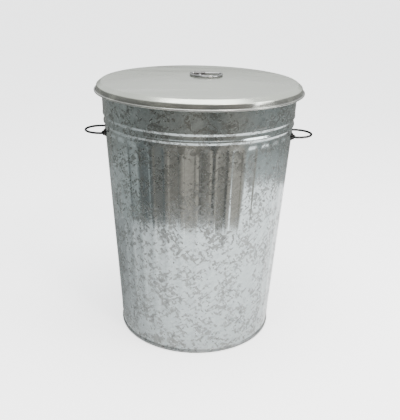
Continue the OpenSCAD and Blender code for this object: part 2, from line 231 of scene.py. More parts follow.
def rounded(corners, radii, steps=8):
    """A path through corner points, each inner corner replaced by the arc that is tangent to both its
    sides. Works for points of two or three coordinates."""
    corners = [np.asarray(c, float) for c in corners]
    path = [corners[0][None]]
    for before, at, after, radius in zip(corners, corners[1:], corners[2:], radii):
        back = (before - at) / np.linalg.norm(before - at)
        ahead = (after - at) / np.linalg.norm(after - at)
        half = math.acos(np.clip(back @ ahead, -1, 1)) / 2
        middle = (back + ahead) / np.linalg.norm(back + ahead)
        centre = at + middle * radius / math.sin(half)
        start = at + back * radius / math.tan(half) - centre
        end = at + ahead * radius / math.tan(half) - centre
        turn = math.pi - 2 * half
        t = np.linspace(0, 1, steps + 1)[:, None]
        path.append(centre + (np.sin((1 - t) * turn) * start + np.sin(t * turn) * end) / math.sin(turn))
    path.append(corners[-1][None])
    return np.concatenate(path)


def dense(path, step):
    """The same path with points added so that no stretch is longer than step."""
    length = np.linalg.norm(np.diff(path, axis=0), axis=1)
    counts = np.maximum(1, np.ceil(length / step)).astype(int)
    index = np.repeat(np.arange(len(counts)), counts)
    first = np.concatenate([[0], np.cumsum(counts)[:-1]])
    share = ((np.arange(counts.sum()) - first[index]) / counts[index])[:, None]
    return np.concatenate([path[index] * (1 - share) + path[index + 1] * share, path[-1:]])


def sheet(path, thickness):
    """Outline of a sheet in the r-z plane: one face is the path, the other is the path moved by the
    thickness to its left, mitred at each point."""
    side = np.diff(path, axis=0)
    side = side / np.linalg.norm(side, axis=1)[:, None]
    left = np.stack([-side[:, 1], side[:, 0]], -1)
    a = np.concatenate([left[:1], left])
    b = np.concatenate([left, left[-1:]])
    offset = (a + b) / (1 + np.sum(a * b, 1))[:, None]
    return np.concatenate([path, (path + thickness * offset)[::-1]])


def make_mesh(name, points, rows_closed, columns_closed, sharp=40):
    """Object from a grid of points (rows, columns, 3), with quads between neighbours, wrapped where
    the grid closes on itself. Points that meet at a pole are merged, and steep edges kept sharp."""
    rows, columns = points.shape[:2]
    index = np.arange(rows * columns).reshape(rows, columns)
    if rows_closed:
        index = np.concatenate([index, index[:1]])
    if columns_closed:
        index = np.concatenate([index, index[:, :1]], 1)
    quads = np.stack([index[:-1, :-1], index[:-1, 1:], index[1:, 1:], index[1:, :-1]], -1).reshape(-1, 4)
    mesh = bpy.data.meshes.new(name)
    mesh.vertices.add(rows * columns)
    mesh.vertices.foreach_set("co", points.reshape(-1))
    mesh.loops.add(quads.size)
    mesh.loops.foreach_set("vertex_index", quads.reshape(-1))
    mesh.polygons.add(len(quads))
    mesh.polygons.foreach_set("loop_start", np.arange(len(quads)) * 4)
    mesh.update(calc_edges=True)
    merged = bmesh.new()
    merged.from_mesh(mesh)
    bmesh.ops.remove_doubles(merged, verts=merged.verts, dist=1e-6)
    merged.to_mesh(mesh)
    merged.free()
    mesh.polygons.foreach_set("use_smooth", np.ones(len(mesh.polygons), bool))
    mesh.set_sharp_from_angle(angle=math.radians(sharp))
    piece = bpy.data.objects.new(name, mesh)
    bpy.context.scene.collection.objects.link(piece)
    return piece


def outward(outline):
    """The outline in the order that makes revolved faces point out of the metal."""
    r, z = outline.T
    area = np.sum(r * np.roll(z, -1) - np.roll(r, -1) * z)
    return outline if area > 0 else outline[::-1]


def revolve(outline, columns):
    """Grid of points of an r-z outline turned round the Z axis."""
    angle = np.arange(columns) * TAU / columns
    outline = outward(outline)
    r, z = outline[:, :1], outline[:, 1:]
    return np.stack([r * np.cos(angle), r * np.sin(angle), z + 0 * angle], -1)


def tube(path, radius, sides=20, closed=False):
    """Grid of points of a round wire along a path: at each point a circle in the plane square to the
    path, its zero turned towards one fixed direction that no wire here runs along. An open wire gets
    chamfered flat ends."""
    lean = np.array([0.37, 0.53, 0.76])
    chamfer = 0.2 * radius
    end_r = radius - chamfer
    if closed:
        tangent = np.roll(path, -1, 0) - np.roll(path, 1, 0)
        size = np.full(len(path), radius)
    else:
        tangent = np.gradient(path, axis=0)
        first, last = path[:1], path[-1:]
        start = tangent[:1] / np.linalg.norm(tangent[:1])
        end = tangent[-1:] / np.linalg.norm(tangent[-1:])
        path = np.concatenate([first, first, first + start * chamfer, path[1:-1],
                               last - end * chamfer, last, last])
        tangent = np.concatenate([start, start, start, tangent[1:-1], end, end, end])
        size = np.concatenate([[0, end_r, radius], np.full(len(path) - 6, radius), [radius, end_r, 0]])
    tangent = tangent / np.linalg.norm(tangent, axis=1)[:, None]
    across = lean - (tangent @ lean)[:, None] * tangent
    across = across / np.linalg.norm(across, axis=1)[:, None]
    up = np.cross(tangent, across)
    angle = (np.arange(sides) * TAU / sides)[None, :, None]
    ring = across[:, None] * np.cos(angle) + up[:, None] * np.sin(angle)
    return path[:, None] + size[:, None, None] * ring


def thicken(piece, thickness):
    """Gives a surface its sheet thickness, half on each side, and rounds the edges of the sheet."""
    solid = piece.modifiers.new("thickness", "SOLIDIFY")
    solid.thickness = thickness
    solid.offset = 0
    rim = piece.modifiers.new("rounded_edges", "BEVEL")
    rim.width = 0.3 * MM
    rim.segments = 2
    rim.limit_method = "ANGLE"
    rim.angle_limit = math.radians(50)


def finish_piece(piece, body, material, cad_node):
    """Gives a piece its material, body and slot, and hides the CAD node it stands for."""
    piece.data.materials.append(material)
    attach(piece, body)
    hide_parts(cad_node)


# ---------------------------------------------------------------- shader nodes

def new_group(name, inputs, outputs):
    """A node group with named inputs [(name, type, default)] and outputs [(name, type)]."""
    group = bpy.data.node_groups.new(name, "ShaderNodeTree")
    for label, kind, default in inputs:
        item = group.interface.new_socket(label, in_out="INPUT", socket_type="NodeSocket" + kind)
        if default is not None:
            item.default_value = default
    for label, kind in outputs:
        group.interface.new_socket(label, in_out="OUTPUT", socket_type="NodeSocket" + kind)
    return group, group.nodes.new("NodeGroupInput").outputs, group.nodes.new("NodeGroupOutput").inputs


def fill(tree, socket, value):
    """Links a socket to another one, or sets it to a plain value."""
    if isinstance(value, bpy.types.NodeSocket):
        tree.links.new(value, socket)
    else:
        socket.default_value = value


def node(tree, kind, settings=None, **links):
    """Adds a node, sets its properties, and fills its sockets with values or links. A socket name's
    underscores stand for spaces, and i0, i1, i2 are sockets by place."""
    made = tree.nodes.new("ShaderNode" + kind)
    for key, value in (settings or {}).items():
        setattr(made, key, value)
    for key, value in links.items():
        socket = made.inputs[int(key[1:])] if key[1:].isdigit() else made.inputs[key.replace("_", " ")]
        fill(tree, socket, value)
    return made


def group_node(tree, group, **values):
    """Places a group, fills its named inputs, and gives its outputs."""
    made = tree.nodes.new("ShaderNodeGroup")
    made.node_tree = group
    for key, value in values.items():
        fill(tree, made.inputs[key.replace("_", " ")], value)
    return made.outputs


def maths(tree, operation, a, b=0.5, c=0.5):
    """Output of a Math node."""
    return node(tree, "Math", {"operation": operation}, i0=a, i1=b, i2=c).outputs[0]


def blend_colour(tree, factor, a, b, how="MIX"):
    """Output of a Mix node for two colours."""
    made = node(tree, "Mix", {"data_type": "RGBA", "blend_type": how}, i0=factor, i6=a, i7=b)
    return made.outputs[2]


def spread(tree, value, low, high, to_low=0.0, to_high=1.0):
    """Map Range with a smooth step."""
    made = node(tree, "MapRange", {"interpolation_type": "SMOOTHSTEP"},
                Value=value, From_Min=low, From_Max=high, To_Min=to_low, To_Max=to_high)
    return made.outputs[0]


# ---------------------------------------------------------------- shader groups

def fleck_layer(group, vector, turn, crystals, share):
    """Long thin crystals that lie one way: cells of a turned and stretched pattern, a share of them."""
    turned = node(group, "VectorRotate", {"rotation_type": "Z_AXIS"}, Vector=vector, Angle=turn)
    longer = node(group, "VectorMath", {"operation": "MULTIPLY"}, i0=turned.outputs[0], i1=(1.0, 0.42, 1.0))
    cells = node(group, "TexVoronoi", {"feature": "F1"}, Vector=longer.outputs[0], Scale=crystals)
    tone = node(group, "SeparateColor", Color=cells.outputs["Color"])
    return spread(group, maths(group, "SUBTRACT", share, tone.outputs[0]), -0.04, 0.10), tone.outputs[1]


def spangle_group():
    """Zinc crystals: two layers of long flecks with ragged edges, gathered in patches, and soft darker
    clouds in the patches."""
    group, take, give = new_group(
        "zinc_spangle",
        [("Vector", "Vector", None), ("Crystals", "Float", 260.0), ("Dark Share", "Float", 0.2),
         ("Light Zinc", "Color", (0.7, 0.72, 0.72, 1)), ("Dark Zinc", "Color", (0.45, 0.48, 0.48, 1)),
         ("Smooth Roughness", "Float", 0.25), ("Dull Roughness", "Float", 0.42)],
        [("Color", "Color"), ("Roughness", "Float"), ("Height", "Float")])
    ragged = node(group, "TexNoise", Vector=take["Vector"], Scale=210.0, Detail=2.0)
    shift = node(group, "VectorMath", {"operation": "MULTIPLY_ADD"}, i0=ragged.outputs["Color"],
                 i1=(0.006, 0.006, 0.006), i2=take["Vector"])
    patches = node(group, "TexNoise", Vector=take["Vector"], Scale=18.0, Detail=3.0, Roughness=0.6)
    gathered = spread(group, patches.outputs[0], 0.36, 0.62, 0.2, 1.7)
    share = maths(group, "MULTIPLY", take["Dark Share"], gathered)
    one, shine = fleck_layer(group, shift.outputs[0], 0.95, take["Crystals"], share)
    two, lift = fleck_layer(group, shift.outputs[0], -0.75, take["Crystals"], share)
    dark = maths(group, "MAXIMUM", one, two)
    fine = node(group, "TexNoise", Vector=take["Vector"], Scale=700.0, Detail=2.0)
    colour = blend_colour(group, dark, take["Light Zinc"], take["Dark Zinc"])
    bloom = node(group, "TexNoise", Vector=take["Vector"], Scale=75.0, Detail=3.0, Roughness=0.55)
    clouds = maths(group, "MULTIPLY", spread(group, bloom.outputs[0], 0.52, 0.66),
                   spread(group, patches.outputs[0], 0.45, 0.6))
    shade = maths(group, "MULTIPLY", spread(group, shine, 0.0, 1.0, 0.92, 1.05),
                  maths(group, "MULTIPLY_ADD", clouds, -0.28, 1.0))
    shade_colour = node(group, "CombineColor", Red=shade, Green=shade, Blue=shade)
    group.links.new(blend_colour(group, 1.0, colour, shade_colour.outputs[0], "MULTIPLY"), give["Color"])
    rough = node(group, "Mix", {"data_type": "FLOAT"}, i0=dark, i2=take["Smooth Roughness"],
                 i3=take["Dull Roughness"])
    uneven = maths(group, "MULTIPLY_ADD", fine.outputs[0], 0.05, -0.025)
    group.links.new(maths(group, "ADD", rough.outputs[0], uneven), give["Roughness"])
    height = maths(group, "MULTIPLY_ADD", lift, 0.6, maths(group, "MULTIPLY", fine.outputs[0], 0.4))
    group.links.new(height, give["Height"])
    return group


def wall_coordinates_group():
    """The wall rolled out flat: distance round it and height. The two ends meet at the back."""
    group, take, give = new_group("wall_coordinates", [("Vector", "Vector", None), ("Radius", "Float", 0.21)],
                                  [("Vector", "Vector")])
    place = node(group, "SeparateXYZ", Vector=take["Vector"])
    turn = maths(group, "ARCTAN2", place.outputs[0], maths(group, "MULTIPLY", place.outputs[1], -1.0))
    flat = node(group, "CombineXYZ", X=maths(group, "MULTIPLY", turn, take["Radius"]), Y=place.outputs[2])
    group.links.new(flat.outputs[0], give["Vector"])
    return group


def floor_darkening_group():
    """Darker and rougher towards a height of the piece, broken up by noise."""
    group, take, give = new_group(
        "settled_grime",
        [("Vector", "Vector", None), ("Color", "Color", None), ("Roughness", "Float", 0.3),
         ("Grime", "Color", (0.28, 0.27, 0.25, 1)), ("Full Height", "Float", 0.0),
         ("Clean Height", "Float", 0.03), ("Amount", "Float", 0.5)],
        [("Color", "Color"), ("Roughness", "Float")])
    place = node(group, "SeparateXYZ", Vector=take["Vector"])
    fall = node(group, "MapRange", Value=place.outputs[2], From_Min=take["Full Height"],
                From_Max=take["Clean Height"], To_Min=1.0, To_Max=0.0)
    broken = node(group, "TexNoise", Vector=take["Vector"], Scale=60.0, Detail=4.0)
    amount = maths(group, "MULTIPLY", fall.outputs[0], spread(group, broken.outputs[0], 0.3, 0.7))
    amount = maths(group, "MULTIPLY", amount, take["Amount"])
    group.links.new(blend_colour(group, amount, take["Color"], take["Grime"]), give["Color"])
    rough = maths(group, "MULTIPLY_ADD", amount, 0.35, take["Roughness"])
    group.links.new(rough, give["Roughness"])
    return group


def handling_group():
    """Scuffs from handling: fine streaks and rubbed patches that are brighter and smoother."""
    group, take, give = new_group(
        "handling_wear",
        [("Vector", "Vector", None), ("Color", "Color", (0.3, 0.3, 0.3, 1)),
         ("Rubbed Color", "Color", (0.6, 0.6, 0.6, 1)), ("Roughness", "Float", 0.35),
         ("Scale", "Float", 90.0), ("Amount", "Float", 0.5)],
        [("Color", "Color"), ("Roughness", "Float"), ("Height", "Float")])
    patch = node(group, "TexNoise", Vector=take["Vector"], Scale=take["Scale"], Detail=5.0, Roughness=0.65)
    grain = node(group, "TexNoise", Vector=take["Vector"], Scale=900.0, Detail=2.0)
    rubbed = maths(group, "MULTIPLY", spread(group, patch.outputs[0], 0.45, 0.68), take["Amount"])
    group.links.new(blend_colour(group, rubbed, take["Color"], take["Rubbed Color"]), give["Color"])
    smoother = maths(group, "MULTIPLY_ADD", rubbed, -0.12, take["Roughness"])
    grainy = maths(group, "MULTIPLY_ADD", grain.outputs[0], 0.12, -0.06)
    group.links.new(maths(group, "ADD", smoother, grainy), give["Roughness"])
    group.links.new(maths(group, "MULTIPLY_ADD", patch.outputs[0], 0.5, grain.outputs[0]), give["Height"])
    return group


SPANGLE = spangle_group()
WALL = wall_coordinates_group()
FLOOR_DARKENING = floor_darkening_group()
HANDLING = handling_group()


# ---------------------------------------------------------------- materials

def metal(name, metallic):
    """An empty metal material: its tree, its Object coordinates and its shader."""
    material = bpy.data.materials.new(name)
    material.use_nodes = True
    tree = material.node_tree
    shader = tree.nodes["Principled BSDF"]
    shader.inputs["Metallic"].default_value = metallic
    place = tree.nodes.new("ShaderNodeTexCoord").outputs["Object"]
    return material, tree, place, shader


def surface(tree, shader, look, height, bump_strength):
    """Feeds a shader with the colour and roughness of a group, and with a bump of a height in it."""
    tree.links.new(look["Color"], shader.inputs["Base Color"])
    tree.links.new(look["Roughness"], shader.inputs["Roughness"])
    bump = node(tree, "Bump", Height=height, Strength=bump_strength, Distance=0.3 * MM)
    tree.links.new(bump.outputs[0], shader.inputs["Normal"])


def grey(value, warm=0.0):
    """A grey, warmer or cooler by a small amount."""
    return (value + warm, value, value - warm, 1)


def spangled_zinc(name, light, dark, share, smooth_rough, dull_rough, crystals=260.0, rolled=True):
    """Galvanised sheet, darker and rougher towards the floor. On a rolled wall the crystals lie along it,
    elsewhere they follow the position."""
    material, tree, place, shader = metal(name, 0.95)
    along = group_node(tree, WALL, Vector=place)["Vector"] if rolled else place
    zinc = group_node(tree, SPANGLE, Vector=along, Crystals=crystals, Dark_Share=share, Light_Zinc=light,
                      Dark_Zinc=dark, Smooth_Roughness=smooth_rough, Dull_Roughness=dull_rough)
    # Darker and rougher towards the floor.
    toward_floor = group_node(tree, FLOOR_DARKENING, Vector=place, Color=zinc["Color"], Roughness=zinc["Roughness"],
                       Amount=0.35, Clean_Height=0.05)
    surface(tree, shader, toward_floor, zinc["Height"], 0.08)
    return material


def lid_zinc(name):
    """Smooth, faintly matt zinc with a few scuffs. The skirt is more polished above its rolled rim, and down
    to
    the rim it carries painted shade: a darker colour standing in for the dark room it reflects."""
    material, tree, place, shader = metal(name, 0.85)
    height = node(tree, "SeparateXYZ", Vector=place).outputs[2]
    skirt_shade_and_polish = spread(tree, height, CREST_Z - 3 * MM, CREST_Z + 1 * MM, 1.0, 0.0)
    above_roll = spread(tree, height, LID_RIM_Z, LID_RIM_Z + 2 * LID_ROLL_R)
    polished = maths(tree, "MULTIPLY", skirt_shade_and_polish, above_roll)
    # Painted shade: the skirt and its roll get a darker colour for the dark room they reflect.
    colour = blend_colour(tree, skirt_shade_and_polish, (0.41, 0.43, 0.38, 1), (0.26, 0.265, 0.25, 1))
    along = node(tree, "VectorMath", {"operation": "MULTIPLY"}, i0=place, i1=(0.15, 1.0, 1.0))
    worn = group_node(tree, HANDLING, Vector=along.outputs[0], Color=colour,
                      Rubbed_Color=(0.48, 0.495, 0.445, 1),
                      Roughness=maths(tree, "MULTIPLY_ADD", polished, -0.16, 0.31), Scale=26.0, Amount=0.8)
    surface(tree, shader, worn, worn["Height"], 0.05)
    return material


def worked_steel(name, colour, rubbed, roughness, scale=90.0, edge=1.0):
    """Bent or forged steel with rubbed patches. A low edge value keeps its grazing gloss dark."""
    material, tree, place, shader = metal(name, 0.95)
    shader.inputs["Specular Tint"].default_value = grey(edge)
    worn = group_node(tree, HANDLING, Vector=place, Color=colour, Rubbed_Color=rubbed,
                      Roughness=roughness, Scale=scale, Amount=0.5)
    surface(tree, shader, worn, worn["Height"], 0.15)
    return material


BODY_ZINC = spangled_zinc("body_zinc", light=(0.385, 0.43, 0.435, 1), dark=(0.235, 0.25, 0.245, 1),
                          share=0.22, smooth_rough=0.11, dull_rough=0.30)
PAN_ZINC = spangled_zinc("pan_zinc", light=(0.40, 0.43, 0.43, 1), dark=(0.25, 0.27, 0.27, 1),
                         share=0.25, smooth_rough=0.25, dull_rough=0.42, rolled=False)
HOOP_ZINC = spangled_zinc("hoop_zinc", light=(0.24, 0.26, 0.26, 1), dark=(0.14, 0.155, 0.155, 1),
                          share=0.25, smooth_rough=0.28, dull_rough=0.45, crystals=330.0)
LID_ZINC = lid_zinc("lid_zinc")
WIRE_STEEL = worked_steel("wire_steel", grey(0.045), grey(0.10), 0.45, edge=0.35)
RING_STEEL = worked_steel("ring_steel", grey(0.20), grey(0.40), 0.18)
BRACKET_STEEL = worked_steel("bracket_steel", grey(0.10, 0.002), grey(0.22), 0.42)
RIVET_STEEL = worked_steel("rivet_steel", grey(0.22), grey(0.34), 0.32, scale=160.0)


# ---------------------------------------------------------------- can body

def side_angle(angle):
    """Angle from the nearer end of the X axis, 0 to a quarter turn."""
    turned = np.mod(angle, math.pi)
    return np.minimum(turned, math.pi - turned)


def flute_groove(z, angle):
    """Depth of the flutes: flat-bottomed channels with rounded sides, full along the wall, run out at
    each end along an arch as wide as the flute, and left out under the two handle brackets."""
    turn = angle * FLUTES / TAU
    wave = smooth((0.5 - np.abs(np.mod(turn, 1) - 0.5) - FLUTE_LAND / 2) / FLUTE_SIDE)
    middle = (np.floor(turn) + 0.5) * TAU / FLUTES
    bracket_half = math.asin(BRACKET_W / 2 / (wall_r(HANDLE_HINGE[2]) + BRACKET_T))
    plain = side_angle(middle) <= bracket_half + math.pi / FLUTES
    half_w = wall_r(z) * math.pi / FLUTES
    off = (np.mod(turn, 1) - 0.5) * 2 * half_w
    arch = half_w - np.sqrt(np.maximum(half_w ** 2 - off ** 2, 0))
    run = smooth((FLUTE_Z1 - z - arch) / FLUTE_FADE) * smooth((z - FLUTE_Z0 - arch) / FLUTE_FADE)
    along = (z - FLUTE_Z0) / (FLUTE_Z1 - FLUTE_Z0)
    depth = FLUTE_DEPTH_BASE + (FLUTE_DEPTH - FLUTE_DEPTH_BASE) * along
    return np.where(plain, 0, depth * wave * run)


def seam_fold(z, angle):
    """Height of the folded seam: its thickness across its width, stepped down smoothly at its sides
    and ends."""
    across = np.abs(angle - SEAM_TURN) * wall_r(z)
    sides = smooth(((SEAM_W + SEAM_SIDE) / 2 - across) / SEAM_SIDE)
    low_end = smooth((z - HOOP_H - SEAM_END) / SEAM_END)
    high_end = smooth((CAN_H - SEAM_DROP - z) / SEAM_END)
    return SEAM_T * sides * low_end * high_end


def unevenness(z, angle):
    """Hand-made sheet is never quite round: a sum of three slow waves, under a third of a millimetre
    high, that dies out towards the base and the rim."""
    wave = (np.sin(3 * angle + 9 * z) * np.sin(7 * z + 0.6) + 0.7 * np.sin(7 * angle - 14 * z + 1.3)
            + 0.5 * np.sin(13 * angle + 23 * z + 2.1) * np.sin(11 * z))
    return UNEVEN_H * wave * smooth(z / UNEVEN_FADE) * smooth((CAN_H - z) / UNEVEN_FADE)


def wall_heights():
    """Heights of the wall's rows, closer together at the beads and where the flutes run out."""
    run_out = 25 * MM
    step = 2.5 * MM
    beads_end = UPPER_BEAD_Z + BEAD_W
    return np.concatenate([
        np.linspace(HOOP_T, BASE_BEAD_Z - BASE_BEAD_W, 5),
        np.linspace(BASE_BEAD_Z - BASE_BEAD_W / 2, FLUTE_Z0, 7),
        FLUTE_Z0 + step * np.arange(1, 8),
        np.linspace(FLUTE_Z0 + run_out, FLUTE_Z1 - run_out, 14),
        FLUTE_Z1 - step * np.arange(8, -1, -1),
        np.arange(LOWER_BEAD_Z - BEAD_W / 2, beads_end, 1.2 * MM),
        np.linspace(beads_end + 4 * MM, CAN_H - RIM_OUT_R - 2 * MM, 6)])


def wall_angles():
    """Angles of the wall's columns: for each flute the middle of its land, five points on each side
    and its own middle, and four creases at each side of the seam."""
    side = FLUTE_LAND / 2 + FLUTE_SIDE * np.linspace(0, 1, 5)
    one_flute = np.concatenate([[0], side, [0.5], 1 - side[::-1]])
    flutes = (np.arange(FLUTES)[:, None] + one_flute).ravel() * TAU / FLUTES
    crease = np.array([0.8, 0.94, 1.06, 1.25]) * SEAM_W / 2 / TOP_R
    return np.sort(np.concatenate([flutes, SEAM_TURN - crease, SEAM_TURN + crease]))


def body_sheet():
    """The rolled sheet: outer face up, rim rolled round its wire, inner face down. Each row's radius is
    that of the revolved outline, less the flutes, plus the seam on the outer face and the unevenness."""
    heights = wall_heights()
    face = np.concatenate([np.stack([body_r(heights), heights], -1),
                           arc(RIM_CENTRE, RIM_IN_R, math.pi, math.pi - ROLL_TURN, 18)])
    outline = sheet(face, SHEET_T)
    on_wall = np.arange(len(face)) < len(heights)
    wall = np.concatenate([on_wall, on_wall[::-1]])[:, None]
    outer_wall = wall & (np.arange(len(outline)) < len(face))[:, None]
    angle = wall_angles()[None]
    r, z = outline[:, :1], outline[:, 1:]
    r = r + np.where(wall, unevenness(z, angle) - flute_groove(z, angle), 0)
    r = r + np.where(outer_wall, seam_fold(z, angle), 0)
    points = np.stack([r * np.cos(angle), r * np.sin(angle), z + 0 * r], -1)
    piece = make_mesh("body_sheet", points, True, True, 50)
    finish_piece(piece, "can", BODY_ZINC, "body_shell")


def base_pan():
    """Raised pan: flat floor with a shallow ring pressed in it as a bell curve of the radius, rounded
    corner, flange down the wall."""
    inside = [wall_r(z) - SHEET_T for z in (BASE_LIFT, HOOP_T)]
    face = rounded([(0, BASE_LIFT), (inside[0], BASE_LIFT), (inside[1], HOOP_T)], [PAN_CORNER_R])
    outline = sheet(dense(face, 6 * MM), -PAN_T)
    outline[:, 1] -= PAN_RING_DEPTH * np.exp(-((outline[:, 0] - PAN_RING_R) / PAN_RING_W) ** 2)
    piece = make_mesh("base_pan_sheet", revolve(outline, 160), False, True)
    finish_piece(piece, "can", PAN_ZINC, "base_pan")


def foot_hoop():
    """Half-round hoop with its channel, revolved. A small raised weld, a bell curve of the distance
    round the hoop, joins its ends just left of the front."""
    inner = SHEET_T + PAN_T
    swing = np.linspace(math.pi / 2, -math.pi / 2, 17)
    bulge_z = HOOP_H / 2 * (1 + np.sin(swing))
    bulge = np.stack([wall_r(bulge_z) + HOOP_OUT * np.cos(swing), bulge_z], -1)
    channel = np.array([[wall_r(HOOP_LIP_Z) - inner, HOOP_LIP_Z], [wall_r(HOOP_T) - inner, HOOP_T],
                        [wall_r(HOOP_T), HOOP_T]])
    foot = np.array([[wall_r(0) - inner - HOOP_T, 0], [wall_r(HOOP_LIP_Z) - inner - HOOP_T, HOOP_LIP_Z]])
    points = revolve(np.concatenate([channel, bulge, foot]), 360)
    angle = np.arctan2(points[..., 1], points[..., 0])
    radius = np.hypot(points[..., 0], points[..., 1])
    outside = smooth((radius - wall_r(points[..., 2]) - 0.3 * MM) / (1 * MM))
    weld = WELD_H * outside * np.exp(-((angle - WELD_TURN) * BASE_R / WELD_W) ** 2)
    grown = (radius + weld) / radius
    points[..., :2] *= grown[..., None]
    piece = make_mesh("foot_hoop_ring", points, True, True)
    finish_piece(piece, "can", HOOP_ZINC, "foot_hoop")


def rolled_wires():
    """The two wires inside the rolled rims: round rings that show only at the roll's narrow gap."""
    angle = np.arange(180) * TAU / 180
    for name, body, (ring_r, ring_z), radius, cad_node in (
            ("rim_wire_ring", "can", RIM_CENTRE, RIM_WIRE_R, "rim_wire"),
            ("lid_wire_ring", "lid", LID_RIM_CENTRE, LID_WIRE_R, "lid_rim_wire")):
        path = np.stack([ring_r * np.cos(angle), ring_r * np.sin(angle), ring_z + 0 * angle], -1)
        piece = make_mesh(name, tube(path, radius, 12, True), True, True)
        finish_piece(piece, body, WIRE_STEEL, cad_node)


# ---------------------------------------------------------------- handles, brackets, rivets

def side_turn(side):
    """Half turn about Z for the left side, nothing for the right."""
    return Matrix.Rotation(0 if side > 0 else math.pi, 4, "Z")


def side_handle(side, name):
    """Wire bow: tail down, hinge pin, leg, half-round bow, and the same again mirrored."""
    x, _, z = HANDLE_HINGE
    half = HANDLE_W / 2
    leg_end = x + HANDLE_BEND_R + 1 * MM
    leg = rounded([(x, -TAIL_Y, TAIL_Z), (x, -TAIL_Y, z), (x, -half, z), (leg_end, -half, z)],
                  [TAIL_BEND_R, HANDLE_BEND_R], 10)
    plan = arc((x + HANDLE_REACH - half, 0), half, -math.pi / 2, math.pi / 2, 40)
    bow = np.concatenate([plan, np.full((len(plan), 1), z)], 1)
    path = dense(np.concatenate([leg, bow, leg[::-1] * [1, -1, 1]]), WIRE_STEP)
    piece = make_mesh(name + "_bow", tube(path, HANDLE_R), False, True)
    piece.data.transform(side_turn(side))
    finish_piece(piece, name, WIRE_STEEL, name)


def bracket_plan(ear_y):
    """The bracket's strip from above: ear, fold, plate curved round the body, fold, ear."""
    x, _, z = HANDLE_HINGE
    plate_r = wall_r(z) + BRACKET_T / 2
    bend = math.asin(ear_y / plate_r)
    plate = arc((0, 0), plate_r, -bend, bend, 16)
    tip = x + EAR_R
    plan = np.concatenate([
        rounded([(tip, -ear_y), plate[0], plate[2]], [FOLD_R], 6), plate[3:-3],
        rounded([plate[-3], plate[-1], (tip, ear_y)], [FOLD_R], 6)])
    return dense(plan, 0.7 * MM)


def folded_bracket(side, name):
    """Pressed bracket as one folded strip. Along the strip runs its plan. Across it: from the lower to
    the upper edge, narrowing in a straight line to a round nose on each ear, and leaning with the
    wall where it lies on it."""
    x_hinge, _, z_hinge = HANDLE_HINGE
    ear_y = BRACKET_W / 2 - BRACKET_T / 2
    x, y = bracket_plan(ear_y).T
    plate_edge = wall_r(z_hinge) + BRACKET_T
    out = np.clip((x - plate_edge) / (x_hinge - plate_edge), 0, 1)
    on_ear = smooth((x - plate_edge + EAR_BLEND) / EAR_BLEND) * (np.abs(y) > ear_y - FOLD_R)
    nose = np.sqrt(np.maximum(EAR_R ** 2 - np.maximum(x - x_hinge, 0) ** 2, 0))
    low, high = (np.where(x > x_hinge, nose, reach + (EAR_R - reach) * out) for reach in (EAR_LOW, EAR_HIGH))
    edge = BRACKET_H / 2 * (1 - on_ear)
    low = z_hinge - (low * on_ear + edge)
    high = z_hinge + (high * on_ear + edge)
    share = np.linspace(0, 1, 15)[None]
    z = low[:, None] * (1 - share) + high[:, None] * share
    lean = TAPER * (z - z_hinge) * (1 - on_ear[:, None])
    points = np.stack([x[:, None] + lean, y[:, None] + 0 * z, z], -1)
    piece = make_mesh(name + "_strip", points, False, False, 30)
    piece.data.transform(side_turn(side))
    thicken(piece, BRACKET_T)
    finish_piece(piece, "can", BRACKET_STEEL, name)


def rivet_points(front, back):
    """One rivet along Z as a turned outline: domed head on the front, shank, spread tail at the back."""
    dome = np.linspace(0, math.pi / 2, 8)
    head = np.stack([RIVET_HEAD_R * np.sin(dome) ** 0.9, front + RIVET_HEAD_H * np.cos(dome)], -1)
    tail_end = -back - RIVET_TAIL_H
    shank = np.array([[RIVET_R, front], [RIVET_R, -back], [RIVET_TAIL_R, -back - RIVET_TAIL_EDGE],
                      [RIVET_TAIL_R, tail_end + RIVET_TAIL_EDGE], [0.75 * RIVET_TAIL_R, tail_end],
                      [0, tail_end]])
    return revolve(np.concatenate([head, shank]), 24)


def washer_points():
    """One washer below Z = 0 as a turned outline with its outer edges broken."""
    flat_r = WASHER_R - WASHER_EDGE
    outline = np.array([[RIVET_R, 0], [flat_r, 0], [WASHER_R, -WASHER_EDGE],
                        [WASHER_R, WASHER_EDGE - WASHER_T], [flat_r, -WASHER_T], [RIVET_R, -WASHER_T]])
    return revolve(outline, 28)


def fastener_set(name, body, cad_node, points, closed, places):
    """Copies of one turned grid at several places, joined as one piece."""
    piece = make_mesh(name, points, closed, True, 35)
    joined = bmesh.new()
    for place in places:
        copy = piece.data.copy()
        copy.transform(place)
        joined.from_mesh(copy)
        bpy.data.meshes.remove(copy)
    joined.to_mesh(piece.data)
    joined.free()
    finish_piece(piece, body, RIVET_STEEL, cad_node)


def wall_place(side, dy, depth=0.0):
    """Matrix that stands a piece's +Z along the body's outward normal, depth below its outer face."""
    z = HANDLE_HINGE[2]
    turn = math.asin(dy / wall_r(z)) + (0 if side > 0 else math.pi)
    return (Matrix.Rotation(turn, 4, "Z") @ Matrix.Translation((wall_r(z), 0, z))
            @ Matrix.Rotation(math.pi / 2 + math.atan(TAPER), 4, "Y") @ Matrix.Translation((0, 0, -depth)))


def bracket_fixings(side, name):
    """Two rivets through a bracket's plate and the wall, on flat washers. A washer's edges touch the
    round wall, so its middle lies deeper than the sheet by the washer's sagitta in the wall."""
    seat = SHEET_T + WASHER_R ** 2 / 2 / wall_r(HANDLE_HINGE[2])
    heads = [wall_place(side, dy) for dy in (-RIVET_Y, RIVET_Y)]
    seats = [wall_place(side, dy, seat) for dy in (-RIVET_Y, RIVET_Y)]
    fastener_set(name + "_bracket_rivet_set", "can", name + "_bracket_rivets",
                 rivet_points(BRACKET_T, seat + WASHER_T), False, heads)
    fastener_set(name + "_washer_set", "can", name + "_rivet_washers", washer_points(), True, seats)


# ---------------------------------------------------------------- lid

